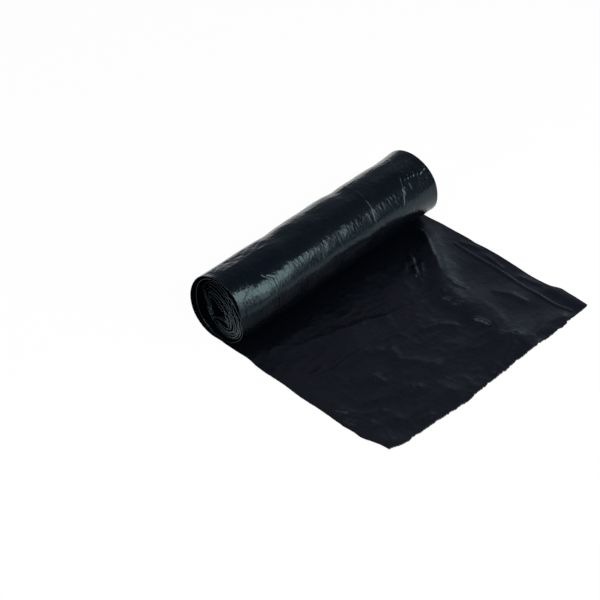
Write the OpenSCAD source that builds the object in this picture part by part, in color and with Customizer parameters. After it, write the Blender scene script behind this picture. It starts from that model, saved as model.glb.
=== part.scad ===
// Roll of bin bags with the first bag partly drawn out.
// The bags are one long web of folded film, joined end to end and wound without a core.
// X runs along the drawn-out film, Y along the roll's axis and Z up.
// The origin is on the surface that the roll lies on, under its axis, halfway along it.

/* [Roll] */
// Diameter of the wound roll
roll_d = 60; // [50:1:75]
// Diameter of the hollow that the winding leaves
hollow_d = 24; // [18:1:30]
// How far the hollow hangs below the roll's axis
hollow_drop = 7; // [0:0.5:8]
// How far the hollow lies behind the roll's axis
hollow_back = 3.5; // [0:0.5:5]
// Turns that can be told apart at the ends of the roll
turns = 8; // [5:1:10]
// Width of the flat spot that the soft roll rests on
flat_w = 12; // [8:1:16]
// How far the winding draws the film's edges in
winding_in = 3; // [1:0.5:5]
// How far the inner turns lie back from the near end
near_recess = 3.5; // [2:0.5:8]
// How far the inner turns lie back from the far end
far_recess = 4; // [2:0.5:8]
// Depth of the gaps between the turns at each end
gap_depth = 5; // [2:0.5:8]
// How far the near end of the soft roll is pressed in at the front
pinch_depth = 4.5; // [0:0.5:6]
// Length of the roll over which that fades
pinch_len = 30; // [20:1:50]
// Angle above the level at which it is pressed in most
pinch_side = 20; // [0:5:45]
// How unevenly the turns' edges lie
edge_sway = 0.5; // [0:0.1:1]
// Length of the loose inner end of the film, across the hollow
tongue_len = 16; // [10:1:18]

/* [Film] */
// Width of the folded web
web_w = 240; // [200:5:300]
// Thickness of the folded web
film_t = 0.7; // [0.5:0.05:1]
// Length of film drawn out, from under the roll's axis to the torn end
out_len = 188; // [150:1:240]
// Depth of the notches that the perforation leaves in the torn end
tear_depth = 1.2; // [0.4:0.2:2]
// How far the torn end's near corner is drawn in
corner_in = 5; // [2:0.5:8]
// How far the far edge bulges near the torn end
edge_bulge = 4; // [0:0.5:6]

/* [Creases] */
// Long fold line of the web, in from its far edge
far_fold_in = 13; // [10:1:20]
// Ridge along the drawn-out film, in from the far edge
ridge_in = 70; // [50:1:80]
// Crease round the middle of the roll, past the ridge from the far edge
mid_crease_past = 7; // [5:1:20]
// Crease round the roll near its near edge, in from that edge
near_crease_in = 41; // [25:1:60]
// How far the crease inside the far fold slants across in one turn
far_crease_slant = 30; // [10:1:45]
// Depth of the creases round the roll
crease_depth = 0.6; // [0.2:0.1:1]
// Width of the creases round the roll
crease_w = 3; // [2:0.5:5]
// Depth of the soft hollows in the roll's skin
slack_depth = 0.7; // [0:0.1:1]

/* [Folds] */
// Height of the ridge in the drawn-out film
ridge_h = 3.5; // [2:0.5:8]
// Width of the ridge's long slope
ridge_w = 26; // [15:1:40]
// Width of the ridge's steep slope
steep_w = 6; // [4:1:10]
// Height of the smaller ripples
ripple_h = 1.8; // [0.5:0.1:3]
// Width of the ripples
ripple_w = 8; // [5:1:12]
// Height of the shallow waves all over the film
wave_h = 0.3; // [0:0.1:0.6]
// Length of those waves
wave_len = 80; // [60:5:120]

/* [Hidden] */

roll_r = roll_d / 2;
hollow_r = hollow_d / 2;
half_w = web_w / 2;
// The flat spot lowers the axis a little and spans twice this angle
flat_angle = asin(flat_w / 2 / roll_r);
axis_z = roll_r * cos(flat_angle);

// Rows run along the web, from the torn end to the loose inner end
turn_rows = 36;
out_rows = 28;
tongue_rows = 6;
flat_rows = round(2 * flat_angle / 360 * turn_rows);
// The film leaves the wound turns this many rows before it ends a full turn
tongue_lead = 5;
inner_row = out_rows + turns * turn_rows - tongue_lead;
last_row = inner_row + tongue_rows;
first_bare = inner_row - turn_rows;
pitch = (roll_r - film_t - hollow_r) / ((inner_row - out_rows) / turn_rows - 1);
// Share of each turn's thickness that stands open as a gap at the ends
gap_share = 0.4;

// Lines along the web: where each lies as the film meets the roll, and a full turn further on
near_edge = [-half_w, -half_w];
near_crease = [near_crease_in - half_w, near_crease_in - half_w];
mid_crease = (half_w - ridge_in - mid_crease_past) * [1, 1] - [0, 2 * crease_w];
far_fold = [half_w - far_fold_in, half_w - far_fold_in];
far_crease = [far_fold[0] - crease_w, far_fold[0] - crease_w - far_crease_slant];
far_edge = [half_w, half_w];
lines = [near_edge, near_crease, mid_crease, far_crease, far_fold, far_edge];
line_columns = [4, 10, 5, 4, 1];
// Columns as [band, number in the band, how many lie inside it]
columns = [
    for (band = [0 : len(line_columns) - 1], i = [0 : line_columns[band] + 1])
        if (i > 0 || band == 0) [band, i, line_columns[band]]
];
last_column = len(columns) - 1;
tear_steps = 3;

// The ridge runs slanting in from the far crease, then straight on to the torn end
ridge_start = out_len / 8;
ridge_turn = 0.58 * out_len;
ridge_y = half_w - ridge_in;
ridge_band = 2;

function smooth(t) = let (s = min(max(t, 0), 1)) s * s * (3 - 2 * s);

// Way across the drawn-out film that the ridge takes
function ridge_across(x) =
    let (t = min(max((x - ridge_start) / (ridge_turn - ridge_start), 0), 1))
    far_crease[0] + (ridge_y - far_crease[0]) * t;

// Place on the drawn-out film, from shares of its length and of half its width
function spot(along, across) = [along * out_len, across * half_w];

// Ridges and ripples in the drawn-out film: start, end, height, width to the left and right of that way
folds = [
    [[ridge_start, far_crease[0]], [ridge_turn, ridge_y], ridge_h, ridge_w, steep_w],
    [[ridge_turn, ridge_y], [out_len, ridge_y], 0.8 * ridge_h, ridge_w, steep_w],
    [[ridge_start, far_fold[0]], [out_len, far_fold[0]], ripple_h / 2, ripple_w, ripple_w / 2],
    [spot(0.27, -0.8), spot(0.28, -0.1), 0.7 * ripple_h, ripple_w, 1.5 * ripple_w],
    [spot(0.48, -0.75), spot(0.54, -0.3), ripple_h, ripple_w, 1.5 * ripple_w],
    [spot(0.54, -0.3), spot(0.78, -0.16), ripple_h, ripple_w, 1.5 * ripple_w],
    [spot(0.5, -0.55), spot(0.6, 0.2), 0.8 * ripple_h, ripple_w, 1.2 * ripple_w],
    [spot(0.7, -0.77), spot(0.84, -0.4), 0.8 * ripple_h, ripple_w, ripple_w],
    [spot(0.63, -0.88), spot(0.82, -0.87), 0.6 * ripple_h, ripple_w, ripple_w],
    [spot(0.92, 0.4), spot(0.99, 0.12), 0.8 * ripple_h, ripple_w, ripple_w],
    [spot(0.85, 1), spot(1, 0.98), ripple_h, ripple_w, ripple_w],
    [spot(0.92, -0.98), spot(1, -0.9), ripple_h, ripple_w, ripple_w],
];

// Winding angle of a row, from straight below the axis, up the back of the roll
function angle(row) = -flat_angle + 360 * turned(row);

// Whole turns from where the film meets the roll
function turned(row) = (row - out_rows) / turn_rows;

// Outer radius of a row, which stays the same on the flat spot
function outer_r(row) =
    roll_r - film_t * min(max(row - out_rows - flat_rows, 0) / (turn_rows - flat_rows), 1)
    - pitch * max(turned(row) - 1, 0);

// Open gap behind the film's edge, which closes at both ends of the winding
function gap(row) =
    gap_share * (outer_r(row) - outer_r(row + turn_rows))
    * smooth((row - out_rows) / (turn_rows / 3)) * smooth((first_bare - row) / (turn_rows / 3));

// Thickness of the film's edge as it shows at the ends
function edge_t(row) =
    row < first_bare
        ? outer_r(row) - outer_r(row + turn_rows) - gap(row)
        : pitch + (film_t - pitch) * (row - first_bare) / turn_rows;

// How far the soft roll is pressed in near its near end
function pinch(a, y) =
    pinch_depth * pow(max(-sin(a + pinch_side), 0), 2) * smooth(1 + (winding_in - y - half_w) / pinch_len);

// Point of the roll's section, pressed flat where it rests, with inner turns that hang low round the hollow
function section(r, a, y) =
    let (
        wall = min(max((r - hollow_r) / (roll_r - film_t - hollow_r), 0), 1),
        pressed = r - wall * pinch(a, y)
    )
    [
        -pressed * sin(a) - (1 - wall) * hollow_back,
        max(axis_z - pressed * cos(a), roll_r - r) - (1 - wall) * hollow_drop
    ];

// Loose inner end, as a curve from the hollow's wall to its tip
hollow_centre = [-hollow_back, axis_z - hollow_drop];
tongue_start = hollow_centre + hollow_r * [-sin(angle(inner_row)), -cos(angle(inner_row))];
tongue_way = [-cos(angle(inner_row)), sin(angle(inner_row))];
tongue_tip = tongue_start + tongue_len * [-0.98, 0.2];
function tongue(t) =
    let (bend = tongue_start + tongue_len / 3 * tongue_way)
    (1 - t) * (1 - t) * tongue_start + 2 * t * (1 - t) * bend + t * t * tongue_tip;
function tongue_inward(t) =
    let (step = tongue(t + 0.01) - tongue(t - 0.01))
    [step[1], -step[0]] / norm(step);

// How far from the middle the film's edge lies at the near end (end = -1) and the far end (end = 1)
function end_y(end, row) =
    let (
        recess = end < 0 ? near_recess : far_recess,
        in = min(turned(row), turned(first_bare)),
        sway = edge_sway * (sin(3 * angle(row)) + sin(5 * angle(row) + 40))
    )
    half_w - winding_in * smooth(2 * in) - recess * smooth((in - 0.8) / 1.5) - sway * smooth(in - 0.8);

// Torn end of the film across its width, drawn in at the near corner
function torn_x(y) =
    let (near = -y / half_w)
    out_len - corner_in * (0.6 * smooth(2 * near - 0.6) + smooth((near - 0.85) / 0.15));

// Edges of the drawn-out film along its length
function out_edge(end, x) =
    let (along = x / out_len)
    end < 0
        ? -half_w + corner_in * smooth((along - 0.85) / 0.15)
        : half_w + edge_bulge * (smooth((along - 0.8) / 0.06) - 0.5 * smooth((along - 0.87) / 0.13));

function beside(p, fold) =
    let (
        way = fold[1] - fold[0],
        at = p - fold[0],
        t = min(max(at * way / (way * way), 0), 1),
        left = way[0] * at[1] - way[1] * at[0] > 0,
        d = norm(at - t * way) / (left ? fold[3] : fold[4])
    )
    fold[2] * exp(-d * d);

// Height of the drawn-out film above the surface it lies on
function lift(p) =
    let (
        wave = sin(360 * p[0] / wave_len) + cos(360 * (p[1] + p[0] / 2) / wave_len),
        fold = max([for (fold = folds) beside(p, fold)])
    )
    smooth((p[0] - 1.25 * flat_w) / roll_r) * (fold + wave_h * (1 + wave / 2));

// Place of a column between its lines, with a close pair at every crease
function share(i, n, w) =
    let (close = min(crease_w / 2 / w, 1 / (n + 1)))
    i == 0 ? 0 : i == n + 1 ? 1 : close + (1 - 2 * close) * (i - 1) / max(n - 1, 1);
function between(j, low, high) = low + (high - low) * share(columns[j][1], columns[j][2], high - low);

// Column places on the drawn-out film, at x along it
function out_y(j, x) =
    let (
        band = columns[j][0],
        whole = between(j, band == ridge_band + 1 ? ridge_across(x) : lines[band][0],
                        band == ridge_band ? ridge_across(x) : lines[band + 1][0])
    )
    whole * abs(out_edge(sign(whole), x)) / half_w;

// Column places on the roll's skin
function skin_y(j, row) =
    let (
        band = columns[j][0],
        on = smooth(turned(row)),
        whole = between(j, lines[band] * [1 - on, on], lines[band + 1] * [1 - on, on])
    )
    whole * end_y(sign(whole), row) / half_w;

// Creases and soft hollows of the roll's skin, which fade where the film meets the roll
function skin_dent(j, row) =
    let (
        crease = columns[j][1] > columns[j][2] && j < last_column ? crease_depth : 0,
        inside = smooth(min(j, last_column - j) / 2),
        away = smooth((row - out_rows - flat_rows) / 8) * smooth((out_rows + turn_rows - row) / 5),
        slack = slack_depth / 2 * (1 + sin(2 * angle(row) + j * 25) * cos(j * 47))
    )
    min(away * (crease + inside * slack), edge_t(row) / 2);

// Underside of the drawn-out film, and the skin that it becomes round the roll
function skin(j, row) =
    row < out_rows
        ? let (
              back = (out_rows - row) / out_rows,
              y = out_y(j, flat_w / 2 + (out_len - flat_w / 2) * back),
              x = flat_w / 2 + (torn_x(y) - flat_w / 2) * back
          )
          [x, y, lift([x, y])]
        : let (
              y = skin_y(j, row),
              at = section(outer_r(row) - skin_dent(j, row), angle(row), y)
          )
          [at[0], y, at[1]];

function raised(p) = p + [0, 0, film_t];

// Points of the film's outer and inner edge at the ends of the roll
function outer_edge(end, row) =
    let (
        y = end * end_y(end, row),
        t = (row - inner_row) / tongue_rows,
        at = row <= inner_row ? section(outer_r(row), angle(row), y) : tongue(t)
    )
    row <= out_rows + turn_rows ? skin(end < 0 ? 0 : last_column, row) : [at[0], y, at[1]];

function inner_edge(end, row) =
    let (
        y = end * end_y(end, row),
        t = (row - inner_row) / tongue_rows,
        at = row <= inner_row
            ? section(outer_r(row) - edge_t(row), angle(row), y)
            : tongue(t) + film_t * tongue_inward(t)
    )
    row < out_rows ? raised(skin(end < 0 ? 0 : last_column, row)) : [at[0], y, at[1]];

function gap_bottom(end, row) =
    let (
        open = gap(row) / gap_share / pitch,
        y = end * (min(end_y(end, row), end_y(end, row + turn_rows)) - gap_depth * smooth(2 * open)),
        at = section(outer_r(row) - edge_t(row) - gap(row) / 2, angle(row), y)
    )
    [at[0], y, at[1]];

// Points between the columns of the torn end, drawn in by the perforation
function tear_point(j, step) =
    let (notch = tear_depth * (step == 1 ? 1 : 0.3) * (0.6 + 0.4 * sin(j * 77)))
    skin(j, 0) * (1 - step / tear_steps) + skin(j + 1, 0) * step / tear_steps - [notch, 0, 0];

// Points, in the order that the index functions below expect
rows_n = last_row + 1;
gap_rows = first_bare - out_rows - 1;
inner_columns = last_column - 1;
skin_rows = out_rows + turn_rows + 1;
points = concat(
    [for (end = [-1, 1], row = [0 : last_row]) outer_edge(end, row)],
    [for (end = [-1, 1], row = [0 : last_row]) inner_edge(end, row)],
    [for (end = [-1, 1], row = [out_rows + 1 : first_bare - 1]) gap_bottom(end, row)],
    [for (row = [0 : skin_rows - 1], j = [1 : last_column - 1]) skin(j, row)],
    [for (row = [0 : out_rows - 1], j = [1 : last_column - 1]) raised(skin(j, row))],
    [for (j = [0 : last_column - 1], step = [1 : tear_steps - 1]) tear_point(j, step)],
    [for (j = [0 : last_column - 1], step = [1 : tear_steps - 1]) raised(tear_point(j, step))]
);
gap_first = 4 * rows_n;
skin_first = gap_first + 2 * gap_rows;
top_first = skin_first + skin_rows * inner_columns;
tear_first = top_first + out_rows * inner_columns;
tear_points = last_column * (tear_steps - 1);

// The film's outer and inner edge meet where it joins the roll, and where its loose end leaves it
function outer_at(end, row) = row == inner_row ? inner_at(end, first_bare) : end * rows_n + row;
function inner_at(end, row) =
    row == out_rows ? outer_at(end, out_rows + turn_rows)
    : (2 + end) * rows_n + row;
function gap_at(end, row) =
    row == out_rows || row == first_bare ? inner_at(end, row)
    : gap_first + end * gap_rows + row - out_rows - 1;
function skin_at(row, j) =
    j == 0 ? outer_at(0, row)
    : j == last_column ? outer_at(1, row)
    : skin_first + row * inner_columns + j - 1;
function top_at(row, j) =
    row == out_rows ? skin_at(out_rows + turn_rows, j)
    : j == 0 ? inner_at(0, row)
    : j == last_column ? inner_at(1, row)
    : top_first + row * inner_columns + j - 1;
function tear_at(level, j, step) =
    step == 0 ? (level == 0 ? skin_at(0, j) : top_at(0, j))
    : step == tear_steps ? (level == 0 ? skin_at(0, j + 1) : top_at(0, j + 1))
    : tear_first + level * tear_points + j * (tear_steps - 1) + step - 1;

// Triangles of a small patch, without those that have no area
function patch(p) = [
    for (i = [1 : len(p) - 2])
        if (p[i] != p[0] && p[i] != p[i + 1] && p[i + 1] != p[0]) [p[0], p[i], p[i + 1]]
];
function flipped(faces) = [for (f = faces) [f[0], f[2], f[1]]];
function facing(end, faces) = end == 0 ? faces : flipped(faces);
function flat(lists) = [for (list = lists, item = list) item];

edge_faces = flat([
    for (end = [0, 1], row = [0 : last_row - 1])
        let (
            here = [outer_at(end, row), inner_at(end, row)],
            next = [outer_at(end, row + 1), inner_at(end, row + 1)]
        )
        facing(end, patch([here[0], next[0], next[1], here[1]]))
]);
gap_faces = flat([
    for (end = [0, 1], row = [out_rows : first_bare - 1])
        let (next = row + turn_rows)
        facing(end, concat(
            patch([inner_at(end, row), inner_at(end, row + 1), gap_at(end, row + 1), gap_at(end, row)]),
            patch([gap_at(end, row), gap_at(end, row + 1), outer_at(end, next + 1), outer_at(end, next)])
        ))
]);
skin_faces = flat([
    for (row = [1 : skin_rows - 2], j = [0 : last_column - 1])
        patch([skin_at(row, j), skin_at(row, j + 1), skin_at(row + 1, j + 1), skin_at(row + 1, j)])
]);
top_faces = flat([
    for (row = [1 : out_rows - 1], j = [0 : last_column - 1])
        patch([top_at(row, j), top_at(row + 1, j), top_at(row + 1, j + 1), top_at(row, j + 1)])
]);
tear_faces = flat([
    for (j = [0 : last_column - 1])
        let (
            low = [for (step = [0 : tear_steps]) tear_at(0, j, step)],
            high = [for (step = [0 : tear_steps]) tear_at(1, j, step)],
            low_back = [for (step = [0 : tear_steps]) low[tear_steps - step]],
            high_back = [for (step = [0 : tear_steps]) high[tear_steps - step]]
        )
        concat(
            flipped(patch(concat([skin_at(1, j), skin_at(1, j + 1)], low_back))),
            patch(concat([top_at(1, j), top_at(1, j + 1)], high_back)),
            flat([for (i = [0 : tear_steps - 1]) patch([low[i], high[i], high[i + 1], low[i + 1]])])
        )
]);
hollow_faces = flat([
    for (row = [first_bare : last_row - 1])
        patch([inner_at(0, row), inner_at(0, row + 1), inner_at(1, row + 1), inner_at(1, row)])
]);
tongue_faces = flat([
    for (row = [inner_row : last_row - 1])
        patch([outer_at(0, row), outer_at(1, row), outer_at(1, row + 1), outer_at(0, row + 1)])
]);
tip_faces = patch([
    outer_at(0, last_row), outer_at(1, last_row),
    inner_at(1, last_row), inner_at(0, last_row)
]);

module bag_web() {
    color([0.03, 0.035, 0.04])
        polyhedron(points, concat(
            edge_faces, gap_faces, skin_faces, top_faces,
            tear_faces, hollow_faces, tongue_faces, tip_faces
        ));
}

bag_web();
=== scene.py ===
"""A roll of black bin bags with the first bag partly drawn out.

X runs along the drawn-out film, Y along the roll's axis and Z up, in metres.
The origin is under the roll's axis, halfway along it, on the surface that the roll lies on.
"""
import math

import bpy
import numpy as np
from mathutils import Matrix, Vector


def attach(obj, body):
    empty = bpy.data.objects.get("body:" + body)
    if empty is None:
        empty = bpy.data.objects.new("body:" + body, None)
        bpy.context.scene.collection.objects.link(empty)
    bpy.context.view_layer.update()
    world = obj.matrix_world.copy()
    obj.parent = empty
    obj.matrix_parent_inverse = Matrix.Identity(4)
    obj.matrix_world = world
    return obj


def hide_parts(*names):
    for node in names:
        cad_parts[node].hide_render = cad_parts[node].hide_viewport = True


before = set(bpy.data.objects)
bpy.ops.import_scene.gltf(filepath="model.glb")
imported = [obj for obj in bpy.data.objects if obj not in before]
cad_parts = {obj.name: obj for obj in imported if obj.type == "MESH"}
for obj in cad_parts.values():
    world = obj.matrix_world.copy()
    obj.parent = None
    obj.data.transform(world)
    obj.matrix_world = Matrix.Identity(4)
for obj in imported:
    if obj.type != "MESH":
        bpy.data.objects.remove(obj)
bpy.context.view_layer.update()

MM = 0.001

# Roll and film, in millimetres, and in degrees where nothing else is said
ROLL_R = 30.0
# Hollow down the middle: its radius, how far it lies to the back and how far it hangs down
HOLLOW_R = 12.0
HOLLOW_BACK = 5.0
HOLLOW_DROP = 7.0
# Flat spot that the soft roll rests on: its width, half its angle in radians, and the axis's height above it
FLAT_W = 12.0
FLAT_ANGLE = math.asin(FLAT_W / 2 / ROLL_R)
AXIS_Z = ROLL_R * math.cos(FLAT_ANGLE)
# Folded web: its width and the length drawn out from under the axis
WEB_W = 240.0
HALF_W = WEB_W / 2
OUT_LEN = 188.0
# Thickness of the drawn-out film, the outer turn and the loose inner end, and of an inner turn
FILM_T = 0.5
TURN_T = 1.2
# How far the winding is narrower than the web at each end, and the inner turns lie back at the far end
WINDING_IN = 3.0
FAR_RECESS = 4.0
# Near end pressed in at the front: depth, angle above +X of the deepest place, length along the roll
PINCH = 4.5
PINCH_SIDE = 20.0
PINCH_LEN = 30.0
# Notch in the outer turn's near edge: its depth and its angle above +X; and the edge's lip at the front
NOTCH = 2.0
NOTCH_SIDE = 48.0
LIP = 1.5
# How far the outer turn comes in from its start to its end
TURN_FALL = 0.7
# How much fuller the soft roll is than its round at its near end, and how much less of that is at its far end
FULL_NEAR = 1.9
FULL_LESS = 0.9
# How far the drawn-out film's near edge is drawn in beside the roll, and comes out again further on
EDGE_IN = 1.2
EDGE_OUT = 3.0
# Near edge of the loose inner end: width of the part that is bent, how far down and how far in it is bent
BENT_W = 8.0
BENT_DOWN = 3.5
BENT_IN = 1.0
# Least height of the drawn-out film above the surface
CLEARANCE = 0.02
# Near corner drawn in, and far edge bulging out, at the torn end
CORNER_IN = 5.0
EDGE_BULGE = 4.0
# Rows of points: along and across the drawn-out film, across the outer turn, along and round the inner
# winding, and along and across the loose inner end
FILM_STEPS = (168, 276)
SKIN_STEPS = 170
WINDING_STEPS = (1300, 41)
LOOSE_STEPS = (41, 150)
# About the mean length of web in one inner turn, in metres
MEAN_TURN_LEN = 0.14
# Name of the map that the film's pattern follows, in metres along and across the web
FILM_MAP = "film"


def smooth(t):
    """Ease from 0 to 1 as t does."""
    s = np.clip(t, 0.0, 1.0)
    return s * s * (3.0 - 2.0 * s)


# Noise

def noise(u, v, seed):
    """Smooth noise between -1 and 1 with features about one unit across."""
    lattice = np.random.default_rng(seed).uniform(-1.0, 1.0, (256, 256))
    iu = np.floor(u).astype(int)
    iv = np.floor(v).astype(int)
    fu = smooth(u - iu)
    fv = smooth(v - iv)

    def at(a, b):
        return lattice[a % 256, b % 256]

    low = at(iu, iv) * (1 - fu) + at(iu + 1, iv) * fu
    high = at(iu, iv + 1) * (1 - fu) + at(iu + 1, iv + 1) * fu
    return low * (1 - fv) + high * fv


def creased(u, v, seed):
    """Noise with sharp crests, from 0 to 1, as crumpled film has."""
    return (1.0 - np.abs(noise(u, v, seed))) ** 3


# Relief of the drawn-out film

def torn_x(y):
    """Torn end of the film across its width, drawn in at the near corner."""
    toward_near = -y / HALF_W
    return OUT_LEN - CORNER_IN * (0.6 * smooth(toward_near * 2 - 0.6) + smooth((toward_near - 0.85) / 0.15))


def far_edge_y(x):
    """Far edge of the film along its length, bulging out near the torn end."""
    bulge = smooth((x / OUT_LEN - 0.8) / 0.06) - 0.5 * smooth((x / OUT_LEN - 0.87) / 0.13)
    return HALF_W + EDGE_BULGE * bulge


def near_edge_y(x):
    """Near edge of the film along its length, drawn in at the near corner."""
    return -HALF_W + CORNER_IN * smooth((x / OUT_LEN - 0.85) / 0.15)


def stroke(x, y, path, height, left_w, right_w, sharp=2.0):
    """Height of a ridge along a path of (x, y) points, wider on one side than on the other."""
    best = np.full(x.shape, 1e9)
    for (x0, y0), (x1, y1) in zip(path, path[1:]):
        wx, wy = x1 - x0, y1 - y0
        t = np.clip(((x - x0) * wx + (y - y0) * wy) / (wx * wx + wy * wy), 0.0, 1.0)
        dx, dy = x - x0 - t * wx, y - y0 - t * wy
        side = np.where(wx * (y - y0) - wy * (x - x0) > 0, left_w, right_w)
        best = np.minimum(best, np.hypot(dx, dy) / side)
    return height * np.exp(-best ** sharp)


# Long forms: path, height, width to the left of the path, width to its right
LONG_FORMS = [
    ([(31, 100), (44, 90.6), (59, 80), (74, 70), (84, 63.6), (97, 54), (110, 51)], 3.6, 13, 12),
    ([(110, 51), (125, 50), (142, 49)], 2.6, 20, 12),
    ([(142, 49), (165, 47), (188, 46)], 1.8, 24, 12),
    ([(172, 52), (180, 62), (188, 76)], 1.2, 9, 7),
    ([(175, 51), (190, 49)], 2.6, 13, 8),
    ([(60, 107), (86, 106), (106, 106.5), (137, 104), (172, 105), (183, 108)], 0.7, 0.9, 1.8),
    ([(158, 118), (188, 120)], 1.2, 9, 7),
    ([(174, -117), (186, -106)], 1.2, 12, 9),
]

# Ripples: path, height, width to the left of the path; to its right they are wider by the lean
RIPPLE_LEAN = 1.3
RIPPLES = [
    ([(51, -92), (54, -78), (56, -68), (60, -60)], 0.5, 2.6),
    ([(60, -60), (64, -45.5), (73, -23), (79, -7)], 0.5, 3.2),
    ([(79, -7), (84, 12), (90, 28)], 0.35, 3.0),
    ([(88, -95), (94, -85), (92, -67), (94, -52), (104, -38), (113, -33)], 0.8, 3.4),
    ([(108, -30), (107, -12), (106, 8), (110, 16)], 0.7, 3.0),
    ([(96, -30), (100, -8), (97, 12)], 0.7, 3.5),
    ([(112, -82), (119, -65), (130, -63)], 0.8, 2.6),
    ([(125, -112), (132, -108), (143, -102), (151, -89)], 0.9, 2.4),
    ([(137, -116), (145, -113), (152, -104)], 0.8, 2.2),
    ([(134, -91), (145, -70), (151, -55)], 0.8, 2.8),
    ([(178, -76), (180, -66)], 0.9, 2.2),
    ([(112, 4), (118, 18), (126, 26)], 0.9, 3.2),
    ([(120, -38), (134, -26), (146, -20)], 0.8, 5.0),
    ([(141, -68), (146, -58), (153, -49)], 1.1, 3.0),
    ([(156, -108), (160, -100), (162, -88)], 0.9, 3.0),
    ([(168, -86), (172, -60), (170, -36)], 0.9, 6.0),
    ([(185, 8), (182, 20), (176, 38), (168, 50)], 1.8, 3.5),
    ([(182, 60), (179, 80), (184, 96)], 1.4, 5.0),
    ([(31, 99), (44, 90.6), (54, 83.5), (61, 78.5)], 0.9, 1.9),
    ([(63, 79), (70, 73), (76, 68.5)], 0.6, 1.7),
    ([(39, 71), (51, 61)], 0.9, 1.8),
    ([(48, 66), (57, 58), (65, 52)], 1.1, 1.8),
    ([(57, 66), (63, 60), (70, 54)], 1.0, 1.8),
    ([(58, 57), (65, 52), (73, 48)], 0.9, 1.8),
    ([(46, 58), (54, 50)], 0.7, 1.8),
    ([(96, 49), (100, 45), (106, 46)], 1.0, 1.5),
    ([(112, 46), (116, 49)], 0.8, 1.5),
    ([(135, 44), (147, 46)], 1.3, 1.5),
    ([(160, 44), (167, 47)], 0.9, 1.5),
    ([(90, 66), (97, 64), (104, 67)], 0.8, 2.2),
    ([(124, 82), (138, 89), (150, 90)], 0.7, 2.6),
    ([(64, 112), (78, 116)], 0.7, 2.0),
    ([(92, 113), (110, 110)], 0.6, 2.0),
    ([(128, 112), (146, 116)], 0.7, 2.4),
]


def torn_end_x(y):
    """Ragged torn end; it reaches further where the ridge and the raised film beside it meet it."""
    further = 1.2 * np.exp(-((y - 78) / 30) ** 2) + 1.3 * np.exp(-((y - 51) / 9) ** 2)
    bite_size = 0.8 + 0.8 * noise(y / 9, y * 0, 25)
    bites = np.maximum(noise(y / 2.2, y * 0, 23), 0) * bite_size + 0.3 * noise(y / 0.9, y * 0, 26)
    return torn_x(y) + 1.9 + further + 0.7 * noise(y / 17, y * 0, 24) - bites


def film_height(x, y):
    """Height of the drawn-out film's underside above the surface that it lies on."""
    ground = np.zeros(x.shape)
    for path, height, left_w, right_w in LONG_FORMS:
        ground = np.maximum(ground, stroke(x, y, path, height, left_w, right_w))
    for path, height, width in RIPPLES:
        ground = ground + stroke(x, y, path, height, width, width * RIPPLE_LEAN, 1.5)
    bubble = 0.9 * (1 + noise(x / 34, y / 42, 11)) + 0.35 * (1 + noise(x / 15, y / 22, 12))
    crumple = 0.32 * creased(x / 13 + 0.3 * noise(x / 20, y / 20, 3), y / 24, 13)
    fine = 0.16 * creased(x / 6, y / 10, 14) + 0.1 * noise(x / 3.2, y / 4.5, 15)
    calm = 1 - 0.55 * smooth((y - 55) / 20)
    away_from_roll = smooth((x - 15) / 30)
    return away_from_roll * (ground + bubble + calm * (crumple + fine))


# Mesh helpers

def new_object(name, verts, faces, uvs=None):
    """Object with its place in its mesh; uvs holds one pair for each vertex, in metres."""
    mesh = bpy.data.meshes.new(name)
    mesh.from_pydata([tuple(v) for v in verts], [], [tuple(f) for f in faces])
    if uvs is not None:
        layer = mesh.uv_layers.new(name=FILM_MAP)
        index = np.empty(len(mesh.loops), dtype=np.int32)
        mesh.loops.foreach_get("vertex_index", index)
        layer.data.foreach_set("uv", np.asarray(uvs, dtype=np.float32)[index].ravel())
    mesh.polygons.foreach_set("use_smooth", [True] * len(mesh.polygons))
    mesh.update()
    obj = bpy.data.objects.new(name, mesh)
    bpy.context.scene.collection.objects.link(obj)
    return obj


def rim_roundness(depth_in, thickness):
    """Share of the thickness at a distance in from a folded edge, which is round."""
    step = np.clip(1 - depth_in / (thickness / 2), 0, 1)
    return np.sqrt(1 - step ** 2)


def places_across(count, width, thickness):
    """Shares from 0 to 1 across a web, with extra places close to both edges for their round rims."""
    rim = np.array([0, 0.03, 0.12, 0.3, 0.6]) * thickness / width
    inner = np.linspace(thickness / width, 1 - thickness / width, count)
    return np.concatenate([rim, inner, 1 - rim[::-1]])


def film_sheet(name, over, under, uv):
    """Closed thin film from a grid of upper points and a grid of lower points of the same shape."""
    rows, cols = over.shape[:2]
    count = rows * cols
    verts = np.concatenate([over.reshape(-1, 3), under.reshape(-1, 3)]) * MM
    i, j = np.meshgrid(np.arange(rows - 1), np.arange(cols - 1), indexing="ij")
    a = (i * cols + j).ravel()
    top = np.stack([a, a + cols, a + cols + 1, a + 1], axis=1)
    bottom = np.stack([a, a + 1, a + cols + 1, a + cols], axis=1) + count
    rim = ([(0, c) for c in range(cols)] + [(r, cols - 1) for r in range(1, rows)]
           + [(rows - 1, c) for c in range(cols - 2, -1, -1)] + [(r, 0) for r in range(rows - 2, 0, -1)])
    rim = np.array([r * cols + c for r, c in rim])
    after = np.roll(rim, -1)
    side = np.stack([rim, after, after + count, rim + count], axis=1)
    faces = np.concatenate([top, bottom, side])
    uvs = np.concatenate([uv.reshape(-1, 2), uv.reshape(-1, 2)]) * MM
    return new_object(name, verts, faces, uvs)


# Pieces

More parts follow.
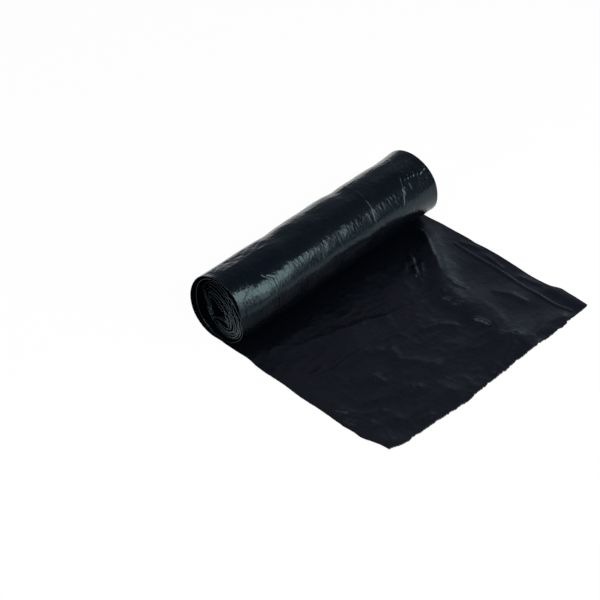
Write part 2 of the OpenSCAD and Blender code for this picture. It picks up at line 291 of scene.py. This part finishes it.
def make_drawn_film():
    """First bag, drawn out from under the roll to its torn end."""
    along = np.linspace(0, 1, FILM_STEPS[0])
    across = places_across(FILM_STEPS[1], WEB_W, FILM_T)
    s, t = np.meshgrid(along, across, indexing="ij")
    x0 = FLAT_W / 2 + (OUT_LEN - FLAT_W / 2) * s
    loose = smooth((x0 - 30) / 20)
    near = near_edge_y(x0 - 4) + EDGE_IN - EDGE_OUT * smooth((x0 - 32) / 28)
    near = near + 0.35 * noise(x0 / 9, x0 * 0, 21) * loose
    far = far_edge_y(x0) + 0.3 * loose + 0.4 * noise(x0 / 8, x0 * 0, 22) * loose
    y = near + (far - near) * t
    x = FLAT_W / 2 + (torn_end_x(y) - FLAT_W / 2) * s
    z = np.maximum(film_height(x, y), CLEARANCE)
    under = np.stack([x, y, z], axis=-1)
    rim = rim_roundness(np.minimum(t, 1 - t) * WEB_W, FILM_T)
    over = under + np.array([0, 0, FILM_T / 2]) * (1 + rim)[..., None]
    under = under + np.array([0, 0, FILM_T / 2]) * (1 - rim)[..., None]
    return film_sheet("drawn_film", over, under, np.stack([x, y], axis=-1))


# Creases round the roll: places across the web against the angle above +X, then the crease's
# height and the widths of its rise and its drop
RING_CREASES = [
    ([(49, -105), (43, -111), (36, -110), (20, -112)], 0.25, 0.8, 0.8),
    ([(58, -84), (48, -78), (34, -79), (21, -80), (8, -80.4)], 0.36, 1.2, 0.8),
    ([(125, 46.5), (99, 44.6), (83, 43.6), (54, 43.4), (33, 40.9)], 0.52, 1.0, 0.45),
    ([(112, 99), (71, 87.6), (54, 83), (26, 76.3)], 0.56, 1.0, 0.45),
]
# Row of small pleats near the far end: angle above +X, place across the web, length, height. The
# stretch that holds them has its own rows of points: from, to, how many
FAR_PLEATS = [(62, 87.5, 2.0, 0.9), (61, 91.5, 1.6, 0.7), (60.5, 95, 1.4, 0.6), (60, 98, 2.0, 0.9),
              (58, 102.5, 1.4, 0.6), (56.5, 106, 2.6, 1.15), (58.5, 110.5, 2.4, 1.1), (47, 114, 1.8, 0.8)]
PLEATED_STRETCH = (88.5, 117, 52)
# Shallow dents along the top: place across the web, depth, width
TOP_DENTS = [(-44, 1.2, 10), (36, 0.9, 8), (98, 0.8, 14)]
# Flat facet at the top's near end: its angle above +X, half its width in degrees, its depth
FACET = (113, 13, 0.8)
# Stretches of the outer turn's winding angle: from, to, how many rows. They are closer on the front and the
# top, where the skin's small forms are
TURN_STRETCHES = [(0, 132, 34), (133.5, 280, 100), (283, 360, 27)]
# Extra rows of points beside each ring crease, as steps across the web
CREASE_STEPS = [-3.0, -2.2, -1.5, -1.2, -0.8, -0.4, 0.0, 0.22, 0.45, 0.8, 1.4, 2.1, 3.0]


def angle_above(turn):
    """Angle above +X, in degrees, of a place on the roll, from its winding angle."""
    return 270 + math.degrees(FLAT_ANGLE) - turn


def crease_place(path, above):
    """Place of a ring crease across the web, at an angle above +X."""
    return np.interp(above, [p[0] for p in path][::-1], [p[1] for p in path][::-1])


def rows_round_creases(near, far, turn_line):
    """Places across the web for each winding angle; rows of points follow the ring creases."""
    nominal = [float(crease_place(path, 50.0)) for path, height, rise, drop in RING_CREASES]
    extra = [place + step for place in nominal for step in CREASE_STEPS]
    across = places_across(SKIN_STEPS, WEB_W, FILM_T) * WEB_W - HALF_W
    across = np.sort(np.concatenate([across, extra, np.linspace(*PLEATED_STRETCH)]))
    across = across[np.concatenate([[True], np.diff(across) > 0.004])]
    rows = []
    for i, turn in enumerate(turn_line):
        knots = [(-HALF_W, near[i]), (-HALF_W + 1, near[i] + 1)]
        for place, (path, height, rise, drop) in zip(nominal, RING_CREASES):
            here = float(crease_place(path, angle_above(turn)))
            knots += [(place - 3, here - 3), (place + 3, here + 3)]
        knots += [(HALF_W - 1, far[i] - 1), (HALF_W, far[i])]
        rows.append(np.interp(across, [k[0] for k in knots], [k[1] for k in knots]))
    return np.array(rows)


def skin_relief(turn, y):
    """How far the roll's skin lies inside its round, from the winding angle in degrees."""
    above = angle_above(turn)
    arc = np.radians(turn) * ROLL_R
    dent = np.zeros(y.shape)
    for path, height, rise, drop in RING_CREASES:
        off = y - crease_place(path, above)
        fade = smooth((above - path[-1][0] + 12) / 12) * smooth((path[0][0] + 12 - above) / 12)
        fade = fade * (0.5 + 0.5 * smooth((72 - above) / 8)) * (0.85 + 0.3 * noise(arc / 5, arc * 0, 39))
        dent -= height * fade * np.interp(off, [-rise, 0, drop, drop + 1.7], [0, 1, -0.35, 0])
    for at_angle, place, length, height in FAR_PLEATS:
        wedge = np.interp(y - place, [0, length, length + 1.2], [0, 1, 0], left=0, right=0)
        dent -= height * wedge * np.exp(-((above - at_angle) / 3.0) ** 4)
    top = smooth((above - 80) / 20)
    for place, depth, width in TOP_DENTS:
        dent += depth * top * np.exp(-((y - place) / width) ** 2)
    facet_at, facet_half, facet_depth = FACET
    from_middle = (above - facet_at + 3 * noise(y / 14, y * 0, 43)) / facet_half
    facet = np.maximum(1 - from_middle ** 2, 0) * smooth((y + 119) / 4) * smooth((-50 - y) / 14)
    dent += facet_depth * facet
    # Uneven skin: broad waves, then grain and creased streaks, more of them on the top
    dent += 0.4 * noise(arc / 22, y / 45, 31) + 0.42 * noise(arc / 11, y / 15, 32)
    upper = 0.3 + 0.7 * smooth((above - 40) / 10)
    dent += 0.08 * upper * noise(arc / 2.4, y / 2.2, 38)
    dent += 0.08 * creased(arc / 6 + 0.4 * noise(arc / 6, y / 6, 37), y / 7, 33)
    dent += 0.18 * smooth((above - 84) / 14) * creased(arc / 2.4, y / 9, 34)
    return dent


def round_point(r, turn):
    """Point of the roll's section, pressed flat where it rests."""
    a = np.radians(turn) - FLAT_ANGLE
    return -r * np.sin(a), np.maximum(AXIS_Z - r * np.cos(a), np.maximum(ROLL_R - r, 0))


def front_side(turn):
    """1 where the roll faces the front and a little up, falling to -1 opposite."""
    return -np.sin(np.radians(turn) - FLAT_ANGLE + math.radians(PINCH_SIDE))


def pinch(turn, y):
    """How far the near end of the soft roll is pressed in at its front side."""
    return PINCH * np.maximum(front_side(turn), 0) ** 2 * smooth(1 + (WINDING_IN - y - HALF_W) / PINCH_LEN)


def outer_edge_y(turn, end):
    """Half width of the outer turn at the near end (-1) or the far end (1)."""
    drawn_in = WINDING_IN * smooth(turn / 180)
    sway = 0.35 * noise(turn / 25, turn * 0, 41 if end < 0 else 42) * smooth(turn / 60)
    if end > 0:
        return HALF_W - drawn_in + sway
    # Its first stretch, under the roll, is drawn in like the sheet that it comes from
    sway = sway - 1.5 * (1 - smooth(turn / 50))
    lip = LIP * np.maximum(front_side(turn), 0) * smooth(turn / 60)
    notch = NOTCH * np.maximum(np.cos(np.radians(angle_above(turn) - NOTCH_SIDE)), 0) ** 6
    return HALF_W - drawn_in + sway + lip - notch


def make_outer_turn():
    """Outermost turn of the roll, which the drawn-out film runs into."""
    turn_line = np.concatenate([np.linspace(*stretch) for stretch in TURN_STRETCHES])
    y = rows_round_creases(-outer_edge_y(turn_line, -1), outer_edge_y(turn_line, 1), turn_line)
    turn = np.repeat(turn_line[:, None], y.shape[1], axis=1)
    near, far = y[:, :1], y[:, -1:]
    calm_ends = smooth(turn / 40) * smooth((360 - turn) / 30)
    edge_hold = 0.3 + 0.7 * smooth(np.minimum(y - near, far - y) / 6)
    clear_of_ground = smooth((turn - 25) / 45) * smooth((335 - turn) / 40)
    full = clear_of_ground * (FULL_NEAR - FULL_LESS * smooth((y + 60) / 150))
    r = ROLL_R - TURN_FALL * turn / 360 + full - calm_ends * edge_hold * skin_relief(turn, y) - pinch(turn, y)
    rim = FILM_T / 2 * rim_roundness(np.minimum(y - near, far - y), FILM_T)
    x, z = round_point(r - FILM_T / 2 + rim, turn)
    xi, zi = round_point(r - FILM_T / 2 - rim, turn)
    over = np.stack([x, y, z], axis=-1)
    under = np.stack([xi, y, zi], axis=-1)
    uv = np.stack([-np.radians(turn) * ROLL_R, y], axis=-1)
    # The winding runs up the back, so the grid is turned over to face outwards
    return film_sheet("outer_turn", over[::-1], under[::-1], uv[::-1])


def build_winding_tree(film):
    """Geometry node tree that winds a strip of film into a spiral with edges that lie back unevenly."""
    tree = bpy.data.node_groups.new("inner_winding", "GeometryNodeTree")
    inputs = {
        "Outer radius": (ROLL_R - 1.1) * MM,
        "Inner radius": HOLLOW_R * MM,
        "Turns": 6.78,
        "Web thickness": TURN_T * MM,
        "Hollow back": HOLLOW_BACK * MM,
        "Hollow drop": HOLLOW_DROP * MM,
        "Half width": (HALF_W - WINDING_IN) * MM,
        "Hollow width": 1.25,
        "Near recess": 2.4 * MM,
        "Recess slant": 2.0 * MM,
        "Back recess": 5.5 * MM,
        "Far recess": FAR_RECESS * MM,
        "Recess growth": 0.1 * MM,
        "Step out": 1.7 * MM,
        "Step growth": 0.22 * MM,
        "Edge sway": 1.0 * MM,
        "Edge fray": 4.0 * MM,
        "Squareness": 1.1 * MM,
        "Pinch": PINCH * MM,
        "Axis height": AXIS_Z * MM,
        "Flat level": ROLL_R * MM,
        "Wave": 0.9 * MM,
        "Gap change": 2.4 * MM,
    }
    for name, value in inputs.items():
        socket = tree.interface.new_socket(name, in_out="INPUT", socket_type="NodeSocketFloat")
        socket.default_value = value
    tree.interface.new_socket("Geometry", in_out="OUTPUT", socket_type="NodeSocketGeometry")
    nodes, links = tree.nodes, tree.links
    group_in = nodes.new("NodeGroupInput")
    group_out = nodes.new("NodeGroupOutput")

    def feed(socket, value):
        """Give a socket a number, or link another socket to it."""
        if isinstance(value, (int, float)):
            socket.default_value = value
        else:
            links.new(value, socket)

    def math_node(kind, a, b=None):
        node = nodes.new("ShaderNodeMath")
        node.operation = kind
        feed(node.inputs[0], a)
        if b is not None:
            feed(node.inputs[1], b)
        return node.outputs[0]

    def plus(a, b):
        return math_node("ADD", a, b)

    def minus(a, b):
        return math_node("SUBTRACT", a, b)

    def times(a, b):
        return math_node("MULTIPLY", a, b)

    def sine(degrees_on):
        """Sine of the winding angle moved on by some degrees."""
        return math_node("SINE", plus(angle, math.radians(degrees_on)))

    def positive_power(value, exponent):
        return math_node("POWER", math_node("MAXIMUM", value, 0.0), exponent)

    def ease(value, low, high):
        node = nodes.new("ShaderNodeMapRange")
        node.interpolation_type = "SMOOTHSTEP"
        links.new(value, node.inputs["Value"])
        feed(node.inputs["From Min"], low)
        feed(node.inputs["From Max"], high)
        return node.outputs["Result"]

    def wobble(x, y, z, scale, seed):
        """Smooth noise between about -0.5 and 0.5, fixed by its seed."""
        vector = nodes.new("ShaderNodeCombineXYZ")
        for key, value in (("X", x), ("Y", y), ("Z", z)):
            feed(vector.inputs[key], value)
        node = nodes.new("ShaderNodeTexNoise")
        node.noise_dimensions = "4D"
        node.inputs["W"].default_value = seed
        node.inputs["Scale"].default_value = scale
        node.inputs["Detail"].default_value = 1.0
        links.new(vector.outputs[0], node.inputs["Vector"])
        return minus(node.outputs["Fac"], 0.5)

    given = {name: group_in.outputs[name] for name in inputs}
    strip = nodes.new("GeometryNodeMeshGrid")
    strip.inputs["Size X"].default_value = 1.0
    strip.inputs["Size Y"].default_value = 1.0
    strip.inputs["Vertices X"].default_value = WINDING_STEPS[0]
    strip.inputs["Vertices Y"].default_value = WINDING_STEPS[1]
    place = nodes.new("GeometryNodeInputPosition")
    apart = nodes.new("ShaderNodeSeparateXYZ")
    links.new(place.outputs[0], apart.inputs[0])
    turned = times(plus(apart.outputs["X"], 0.5), given["Turns"])
    angle = plus(times(turned, 2 * math.pi), 2 * math.pi - FLAT_ANGLE)
    round_x = math_node("SINE", angle)
    round_z = math_node("COSINE", angle)
    front = times(sine(PINCH_SIDE), -1.0)

    # The strip's width goes once round the web's thin section: out along its upper face, then back along its
    # lower one. This share of a face's rows makes each round rim, and its other rows crowd towards the edges
    rim_share = 0.2
    crowding = 2.2
    round_web = times(apart.outputs["Y"], 2.0)
    face = math_node("SIGN", round_web)
    reach = math_node("ABSOLUTE", round_web)
    from_edge = math_node("MINIMUM", reach, minus(1.0, reach))
    far_side = math_node("GREATER_THAN", reach, 0.5)
    near_side = minus(1.0, far_side)
    side = minus(times(far_side, 2.0), 1.0)
    rim_turn = times(math_node("MINIMUM", math_node("DIVIDE", from_edge, rim_share), 1.0), math.pi / 2)
    past_rim = math_node("MAXIMUM", minus(from_edge, rim_share), 0.0)
    inward = math_node("DIVIDE", past_rim, 0.5 - rim_share)
    crowded = times(math_node("POWER", inward, crowding), given["Half width"])
    ends = times(ease(turned, 0.0, 0.02), ease(minus(given["Turns"], turned), 0.0, 0.015))

    # Some stretches of the web are pressed thin and others stand open
    looser = times(sine(-35), -0.45)
    puffed = plus(times(wobble(times(turned, 1.7), 0.0, 0.0, 1.0, 8.0), 1.5), plus(looser, 0.85))
    half_t = times(times(times(given["Web thickness"], 0.5), ends), puffed)
    off_web = times(times(face, half_t), math_node("SINE", rim_turn))
    rim_in = times(half_t, minus(1.0, math_node("COSINE", rim_turn)))

    # The inner turns' edges lie back from the outer one, more at the back than at the front
    lies_back = ease(turned, 0.0, 0.9)
    near_recess = minus(given["Near recess"], times(given["Recess slant"], front))
    near_recess = plus(near_recess, times(given["Back recess"], positive_power(sine(15), 2.0)))
    recess = plus(times(given["Far recess"], far_side), times(near_recess, near_side))
    sway = times(wobble(round_x, round_z, times(turned, 0.9), 1.3, 2.0), times(given["Edge sway"], 4.0))
    edge = minus(given["Half width"], times(recess, lies_back))
    edge = minus(edge, times(turned, given["Recess growth"]))
    # High on the front side each turn stands out a little beyond the one round it
    there = times(positive_power(times(sine(NOTCH_SIDE), -1.0), 6.0), near_side)
    step_out = plus(given["Step out"], times(turned, given["Step growth"]))
    edge = plus(edge, times(step_out, there))
    edge = minus(edge, times(math_node("ABSOLUTE", sway), lies_back))
    fray = times(wobble(round_x, round_z, times(turned, 3.1), 7.0, 4.0), given["Edge fray"])
    edge = plus(edge, times(fray, plus(there, 0.3)))
    from_end = times(crowded, math_node("DIVIDE", edge, given["Half width"]))
    new_y = times(side, minus(minus(edge, rim_in), from_end))

    # The radius falls steadily to a hollow that hangs low and is a little square
    share = math_node("DIVIDE", turned, given["Turns"])
    wall = minus(given["Outer radius"], given["Inner radius"])
    steady = minus(given["Outer radius"], times(wall, share))
    corners = math_node("COSINE", times(angle, 4.0))
    radius = minus(steady, times(times(corners, given["Squareness"]), share))
    shaped = wobble(round_x, round_z, times(turned, 0.12), 1.6, 5.0)
    radius = plus(radius, times(times(shaped, given["Wave"]), ease(turned, 0.3, 1.5)))
    gaps = wobble(round_x, round_z, times(turned, 0.55), 1.2, 9.0)
    radius = plus(radius, times(times(gaps, given["Gap change"]), ease(turned, 0.4, 1.2)))
    pressed = times(positive_power(front, 2.0), given["Pinch"])
    near_end = ease(times(new_y, -1.0), (HALF_W - WINDING_IN - PINCH_LEN) * MM, (HALF_W - WINDING_IN) * MM)
    radius = minus(radius, times(times(pressed, near_end), minus(1.0, share)))
    radius = plus(radius, off_web)
    wide = plus(times(minus(given["Hollow width"], 1.0), share), 1.0)
    across = times(times(radius, round_x), wide)
    new_x = minus(times(across, -1.0), times(given["Hollow back"], share))
    hung = minus(given["Axis height"], times(radius, round_z))
    lowest = minus(given["Flat level"], radius)
    new_z = minus(math_node("MAXIMUM", hung, lowest), times(given["Hollow drop"], share))

    moved = nodes.new("ShaderNodeCombineXYZ")
    for key, value in (("X", new_x), ("Y", new_y), ("Z", new_z)):
        links.new(value, moved.inputs[key])
    store = nodes.new("GeometryNodeStoreNamedAttribute")
    store.data_type = "FLOAT2"
    store.domain = "CORNER"
    store.inputs["Name"].default_value = FILM_MAP
    web = nodes.new("ShaderNodeCombineXYZ")
    links.new(times(turned, -MEAN_TURN_LEN), web.inputs["X"])
    links.new(new_y, web.inputs["Y"])
    links.new(strip.outputs["Mesh"], store.inputs["Geometry"])
    links.new(web.outputs[0], store.inputs["Value"])
    wind = nodes.new("GeometryNodeSetPosition")
    links.new(store.outputs["Geometry"], wind.inputs["Geometry"])
    links.new(moved.outputs[0], wind.inputs["Position"])
    closed = nodes.new("GeometryNodeMergeByDistance")
    closed.inputs["Distance"].default_value = 0.001 * MM
    links.new(wind.outputs["Geometry"], closed.inputs["Geometry"])
    shade = nodes.new("GeometryNodeSetShadeSmooth")
    links.new(closed.outputs["Geometry"], shade.inputs["Geometry"])
    whole = nodes.new("GeometryNodeRealizeInstances")
    links.new(shade.outputs["Geometry"], whole.inputs["Geometry"])
    finish = nodes.new("GeometryNodeSetMaterial")
    finish.inputs["Material"].default_value = film
    links.new(whole.outputs["Geometry"], finish.inputs["Geometry"])
    links.new(finish.outputs["Geometry"], group_out.inputs["Geometry"])
    return tree


def make_inner_turns(film):
    """Turns inside the outermost one, down to the loose end that hangs across the hollow."""
    holder = new_object("winding_strip", [], [])
    modifier = holder.modifiers.new("winding", "NODES")
    modifier.node_group = build_winding_tree(film)
    evaluated = holder.evaluated_get(bpy.context.evaluated_depsgraph_get())
    mesh = bpy.data.meshes.new_from_object(evaluated)
    bpy.data.objects.remove(holder)
    mesh.name = "inner_turns"
    turns = bpy.data.objects.new("inner_turns", mesh)
    bpy.context.scene.collection.objects.link(turns)
    return turns


def make_loose_end():
    """Inner end of the web, which leaves the hollow's wall and arches across its lower half."""
    along = np.linspace(0, 1, LOOSE_STEPS[0])
    w, t = np.meshgrid(along, places_across(LOOSE_STEPS[1], WEB_W, FILM_T), indexing="ij")
    # Places in the section, from the axis: it curves from the first to the last, drawn to the middle one
    leaves, bend, tip = (8.6, -12.0), (2.0, -5.5), (-11.5, -14.5)
    rise = 0.8 * noise(w * 3 + 0.4, t * 5, 51)
    x = (1 - w) ** 2 * leaves[0] + 2 * w * (1 - w) * bend[0] + w * w * tip[0]
    z = (1 - w) ** 2 * leaves[1] + 2 * w * (1 - w) * bend[1] + w * w * tip[1] + rise * w * (1 - w) * 4
    half = HALF_W - WINDING_IN
    near = -half + 1.6 + 0.8 * noise(w * 4, w * 0, 52)
    far = half - FAR_RECESS - 2.5
    y = near + (far - near) * t
    bent = np.clip(1 - (y - near) / BENT_W, 0, 1)
    z = z - BENT_DOWN * bent ** 2 * (1 - 0.6 * w)
    y = y + BENT_IN * bent ** 2
    rim = FILM_T / 2 * rim_roundness(np.minimum(t, 1 - t) * WEB_W, FILM_T)
    middle = np.stack([x, y, z + AXIS_Z], axis=-1)
    slope_w = np.gradient(middle, axis=0)
    slope_t = np.gradient(middle, axis=1)
    normal = np.cross(slope_t, slope_w)
    normal = normal / np.linalg.norm(normal, axis=-1, keepdims=True)
    over = middle + normal * rim[..., None]
    under = middle - normal * rim[..., None]
    return film_sheet("loose_end", over[::-1], under[::-1], np.stack([x[::-1], y[::-1]], axis=-1))


# Material

def make_film_material(name, streaks, shine, roughness, graininess, streakiness):
    """Thin black polyethylene film: glossy, slightly blue-green in its shine, finely crinkled.

    streaks holds the pattern's scale along and across the web, and roughness its least and its most.
    """
    mat = bpy.data.materials.new(name)
    mat.use_nodes = True
    nodes, links = mat.node_tree.nodes, mat.node_tree.links
    shader = nodes["Principled BSDF"]
    shader.inputs["Base Color"].default_value = (0.0010, 0.0016, 0.0032, 1)
    shader.inputs["IOR"].default_value = 1.5
    shader.inputs["Specular IOR Level"].default_value = 0.33
    shader.inputs["Specular Tint"].default_value = (*shine, 1)
    uv = nodes.new("ShaderNodeUVMap")
    uv.uv_map = FILM_MAP

    def crinkle(scale_along, scale_across, detail, shift):
        """Pattern that follows the web, moved along it so that no two patterns agree."""
        mapping = nodes.new("ShaderNodeMapping")
        mapping.inputs["Scale"].default_value = (scale_along, scale_across, 1)
        mapping.inputs["Location"].default_value = (shift, shift * 0.7, 0)
        links.new(uv.outputs["UV"], mapping.inputs["Vector"])
        node = nodes.new("ShaderNodeTexNoise")
        node.inputs["Scale"].default_value = 1.0
        node.inputs["Detail"].default_value = detail
        node.inputs["Distortion"].default_value = 0.6
        links.new(mapping.outputs["Vector"], node.inputs["Vector"])
        return node.outputs["Fac"]

    def bump(pattern, strength, depth, normal=None):
        """Normal bent by a pattern, on top of an earlier one; depth is in millimetres."""
        node = nodes.new("ShaderNodeBump")
        node.inputs["Strength"].default_value = strength
        node.inputs["Distance"].default_value = depth * MM
        links.new(pattern, node.inputs["Height"])
        if normal is not None:
            links.new(normal, node.inputs["Normal"])
        return node.outputs["Normal"]

    broad = crinkle(160, 260, 3.0, 1.3)
    streak = crinkle(streaks[0], streaks[1], 2.0, 4.1)
    fine = crinkle(800, 900, 2.0, 7.7)
    normal = bump(broad, 0.22, 0.6)
    normal = bump(streak, streakiness, 0.3, normal)
    normal = bump(fine, graininess, 0.15, normal)
    links.new(normal, shader.inputs["Normal"])

    rough = nodes.new("ShaderNodeMapRange")
    rough.inputs["To Min"].default_value = roughness[0]
    rough.inputs["To Max"].default_value = roughness[1]
    links.new(broad, rough.inputs["Value"])
    links.new(rough.outputs["Result"], shader.inputs["Roughness"])
    return mat


# Studio

# Floor: half its width in metres, and how much of its look is plain white; the rest is its shading and shadow
FLOOR_HALF = 6.0
FLOOR_GLOW = 0.97
# Softboxes that the roll's front mirrors stand in one plane: the place that it faces, the way out to it, the
# way up it and how far out it stands, in metres
BAND_PLACE = (0.021, 0.40, 0.05)
BAND_OUT = (0.834, 0.0, 0.552)
BAND_UP = (-0.552, 0.0, 0.834)
BAND_DISTANCE = 0.6
# Camera: its azimuth, elevation and roll in degrees, its place in metres, its lens and sensor in millimetres
CAMERA_ANGLES = (42.22, 41.51, 1.51)
CAMERA_AT = (0.7843, -0.8859, 1.0136)
CAMERA_LENS = 111.1
CAMERA_SENSOR = 36.0


def seen_directly(nodes, links):
    """1 for camera, glossy and transmission rays, 0 for the light that falls on things."""
    path = nodes.new("ShaderNodeLightPath")
    first = nodes.new("ShaderNodeMath")
    first.operation = "MAXIMUM"
    links.new(path.outputs["Is Camera Ray"], first.inputs[0])
    links.new(path.outputs["Is Glossy Ray"], first.inputs[1])
    both = nodes.new("ShaderNodeMath")
    both.operation = "MAXIMUM"
    links.new(first.outputs[0], both.inputs[0])
    links.new(path.outputs["Is Transmission Ray"], both.inputs[1])
    return both.outputs[0]


def make_floor():
    """White floor that keeps the object's soft shadow."""
    half = FLOOR_HALF
    corners = [(-half, -half, 0), (half, -half, 0), (half, half, 0), (-half, half, 0)]
    floor = new_object("floor", corners, [(0, 1, 2, 3)])
    mat = bpy.data.materials.new("pale_floor")
    mat.use_nodes = True
    nodes, links = mat.node_tree.nodes, mat.node_tree.links
    shader = nodes["Principled BSDF"]
    shader.inputs["Base Color"].default_value = (0.9, 0.9, 0.9, 1)
    shader.inputs["Roughness"].default_value = 0.9
    shader.inputs["Specular IOR Level"].default_value = 0.0
    glow = nodes.new("ShaderNodeEmission")
    glow.inputs["Color"].default_value = (1, 1, 1, 1)
    mix = nodes.new("ShaderNodeMixShader")
    most = nodes.new("ShaderNodeMath")
    most.operation = "MULTIPLY"
    most.inputs[1].default_value = FLOOR_GLOW
    links.new(seen_directly(nodes, links), most.inputs[0])
    links.new(most.outputs[0], mix.inputs["Fac"])
    links.new(shader.outputs["BSDF"], mix.inputs[1])
    links.new(glow.outputs["Emission"], mix.inputs[2])
    links.new(mix.outputs["Shader"], nodes["Material Output"].inputs["Surface"])
    floor.data.materials.append(mat)


def make_world():
    """Studio round the object: white at the horizon, then a dim, slightly blue wall and ceiling."""
    world = bpy.data.worlds.new("studio")
    bpy.context.scene.world = world
    world.use_nodes = True
    nodes, links = world.node_tree.nodes, world.node_tree.links
    back = nodes["Background"]
    coords = nodes.new("ShaderNodeTexCoord")
    apart = nodes.new("ShaderNodeSeparateXYZ")
    links.new(coords.outputs["Generated"], apart.inputs[0])
    ramp = nodes.new("ShaderNodeValToRGB")
    links.new(apart.outputs["Z"], ramp.inputs["Fac"])
    # Height of the direction looked in, and the colour there
    stops = [(0.0, (1.0, 1.0, 1.0)), (0.03, (0.26, 0.29, 0.34)), (0.1, (0.19, 0.22, 0.27)),
             (0.45, (0.20, 0.22, 0.27)), (0.66, (0.24, 0.24, 0.29)), (0.82, (0.15, 0.17, 0.23)),
             (1.0, (0.12, 0.13, 0.19))]
    elements = ramp.color_ramp.elements
    while len(elements) < len(stops):
        elements.new(0.5)
    for element, (at, colour) in zip(elements, stops):
        element.position = at
        element.color = (*colour, 1)
    links.new(ramp.outputs["Color"], back.inputs["Color"])


def make_softbox(name, at, aim, width, height, power, colour=(1.0, 1.0, 1.0)):
    """Flat lamp at one place that faces another, in metres and watts."""
    data = bpy.data.lights.new(name, "AREA")
    data.shape = "RECTANGLE"
    data.size = width
    data.size_y = height
    data.energy = power
    data.color = colour
    lamp = bpy.data.objects.new(name, data)
    lamp.location = at
    way = [aim[i] - at[i] for i in range(3)]
    lamp.rotation_euler = Vector(way).to_track_quat("-Z", "Y").to_euler()
    bpy.context.scene.collection.objects.link(lamp)


def make_band_light(name, beside, around, brightness, colour=(1.0, 0.95, 0.90)):
    """Softbox that the roll's front mirrors; its brightness doesn't change with its size.

    beside holds its two ends along the roll, and around its two ends up the plane, from BAND_PLACE.
    """
    x, y, z = BAND_PLACE
    width = beside[1] - beside[0]
    height = around[1] - around[0]
    middle = Vector((x, y + sum(beside) / 2, z)) + Vector(BAND_UP) * (sum(around) / 2)
    power = math.pi * brightness * width * height
    place = middle + Vector(BAND_OUT) * BAND_DISTANCE
    make_softbox(name, place, middle, width, height, power, colour)


def make_camera():
    """Camera that sees the roll as the photo does."""
    azimuth, elevation, roll = (math.radians(a) for a in CAMERA_ANGLES)
    back = np.array([math.sin(azimuth) * math.cos(elevation), -math.cos(azimuth) * math.cos(elevation),
                     math.sin(elevation)])
    level = np.array([math.cos(azimuth), math.sin(azimuth), 0.0])
    upright = np.cross(back, level)
    right = level * math.cos(roll) + upright * math.sin(roll)
    up = -level * math.sin(roll) + upright * math.cos(roll)
    data = bpy.data.cameras.new("camera")
    data.lens = CAMERA_LENS
    data.sensor_width = CAMERA_SENSOR
    camera = bpy.data.objects.new("camera", data)
    matrix = Matrix.Identity(4)
    for i in range(3):
        matrix[i] = (right[i], up[i], back[i], CAMERA_AT[i])
    camera.matrix_world = matrix
    bpy.context.scene.collection.objects.link(camera)
    bpy.context.scene.camera = camera


bpy.context.scene.view_settings.view_transform = "Standard"
make_camera()
make_floor()
make_world()
# The bands give the long shine on the roll's upper front, from its near end towards its far end, and
# crease_light gives the bright near sides of the creases and pleats round it
make_band_light("near_band", (-0.42, -0.045), (-0.085, 0.194), 6.8)
make_band_light("near_band_low", (-0.42, -0.075), (-0.31, -0.085), 2.6)
make_band_light("middle_band", (-0.045, 0.015), (-0.21, 0.16), 2.8)
make_band_light("crease_light", (-0.565, -0.485), (-0.14, 0.60), 11, (1.0, 0.88, 0.85))
make_band_light("far_band", (0.015, 0.085), (-0.30, 0.14), 0.4)
# Rims of the turns at the near end
make_softbox("rim_light", (0.13, -1.15, 0.42), (0.0, -0.12, 0.04), 0.3, 0.3, 4)
# Far side of the drawn-out film, and its ridge
make_softbox("back_light", (-0.55, 1.20, 0.70), (0.08, 0.06, 0.0), 0.42, 0.36, 0.19, (0.72, 0.88, 1.0))
make_softbox("ridge_light", (-0.35, 1.42, 0.56), (0.05, 0.085, 0.0), 0.24, 0.2, 0.36, (0.72, 0.90, 1.0))
# Creases near the far end, from above
make_softbox("ring_light", (-0.066, -0.113, 0.62), (0.0, 0.085, 0.055), 0.28, 0.07, 0.4, (0.94, 0.95, 1.0))
# Wide soft light from above, on the near side
make_softbox("top_light", (0.2, -1.4, 1.9), (0.05, 0, 0), 1.6, 1.2, 7.6)

wound_film = make_film_material("black_film_wound", streaks=(200, 420), shine=(0.60, 0.92, 1.0),
                                roughness=(0.11, 0.23), graininess=0.25, streakiness=0.8)
flat_film = make_film_material("black_film_flat", streaks=(420, 150), shine=(0.88, 0.93, 1.0),
                               roughness=(0.20, 0.40), graininess=0.15, streakiness=0.25)
drawn_film = make_drawn_film()
outer_turn = make_outer_turn()
inner_turns = make_inner_turns(wound_film)
loose_end = make_loose_end()
drawn_film.data.materials.append(flat_film)
outer_turn.data.materials.append(wound_film)
loose_end.data.materials.append(wound_film)
for piece in (drawn_film, outer_turn, inner_turns, loose_end):
    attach(piece, "root")
    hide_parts("bag_web")
